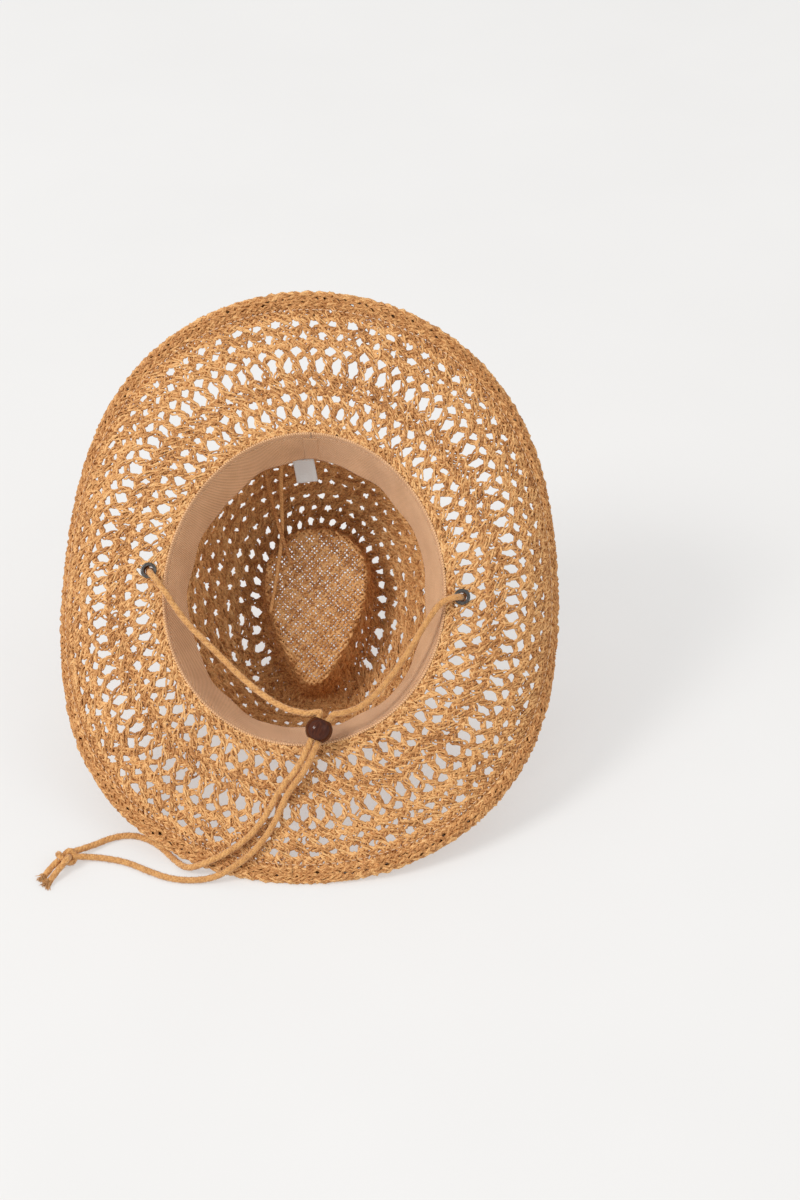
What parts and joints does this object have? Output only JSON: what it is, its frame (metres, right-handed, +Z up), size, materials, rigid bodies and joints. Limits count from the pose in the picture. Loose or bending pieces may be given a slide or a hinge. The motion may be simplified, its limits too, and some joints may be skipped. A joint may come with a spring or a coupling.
{
  "type": "straw cowboy hat",
  "caption": "Open-weave straw cowboy hat lying on its crown and front brim: pinched crown, curled wired brim, cloth sweatband, eyelets and a knotted chin cord with a sliding wooden bead.",
  "frame": {"origin": "on the floor under the middle of the hat's bounding box, without its chin cord", "axes": "+Z is up, away from the floor that the hat lies on; the head opening faces -Y and upwards; +X runs across the hat, and the hat's own plane of symmetry is X = 0"},
  "size_m": [0.3112, 0.2674, 0.2634],
  "materials": {
    "straw": "woven paper straw",
    "wire": "drawn",
    "thread": "spun",
    "band_cloth": "fine twill",
    "label_cloth": "satin weave",
    "eyelet_metal": "burnished",
    "bead_wood": "stained and varnished",
    "cord_cloth": "braided"
  },
  "bodies": {
    "hat": {"crown_weave": "straw", "brim_weave": "straw", "brim_hem": "straw", "loose_straws": "straw", "brim_wire": "wire", "wire_ferrule": "wire", "hem_stitching": "thread", "sweatband_stitching": "thread", "label_stitching": "thread", "sweatband": "band_cloth", "sweatband_seam_tape": "band_cloth", "eyelet_left": "eyelet_metal", "eyelet_right": "eyelet_metal", "eyelet_washer_left": "eyelet_metal", "eyelet_washer_right": "eyelet_metal", "chin_cord_left": "cord_cloth", "chin_cord_right": "cord_cloth", "cord_tails": "cord_cloth", "end_knot": "cord_cloth", "stopper_knot_left": "cord_cloth", "stopper_knot_right": "cord_cloth"},
    "bead": {"chin_bead": "bead_wood"},
    "label": {"care_label": "label_cloth"}
  },
  "joints": [
    {"name": "bead_slide", "type": "slide", "parent": "hat", "child": "bead", "axis": [-0.3502, -0.6472, -0.6771], "range_m": [0, 0.014]},
    {"name": "label_flap", "type": "hinge", "parent": "hat", "child": "label", "pos_m": [-0.006, 0.0791, 0.16874], "axis": [1, 0, 0], "range_deg": [-60, 40]}
  ]
}
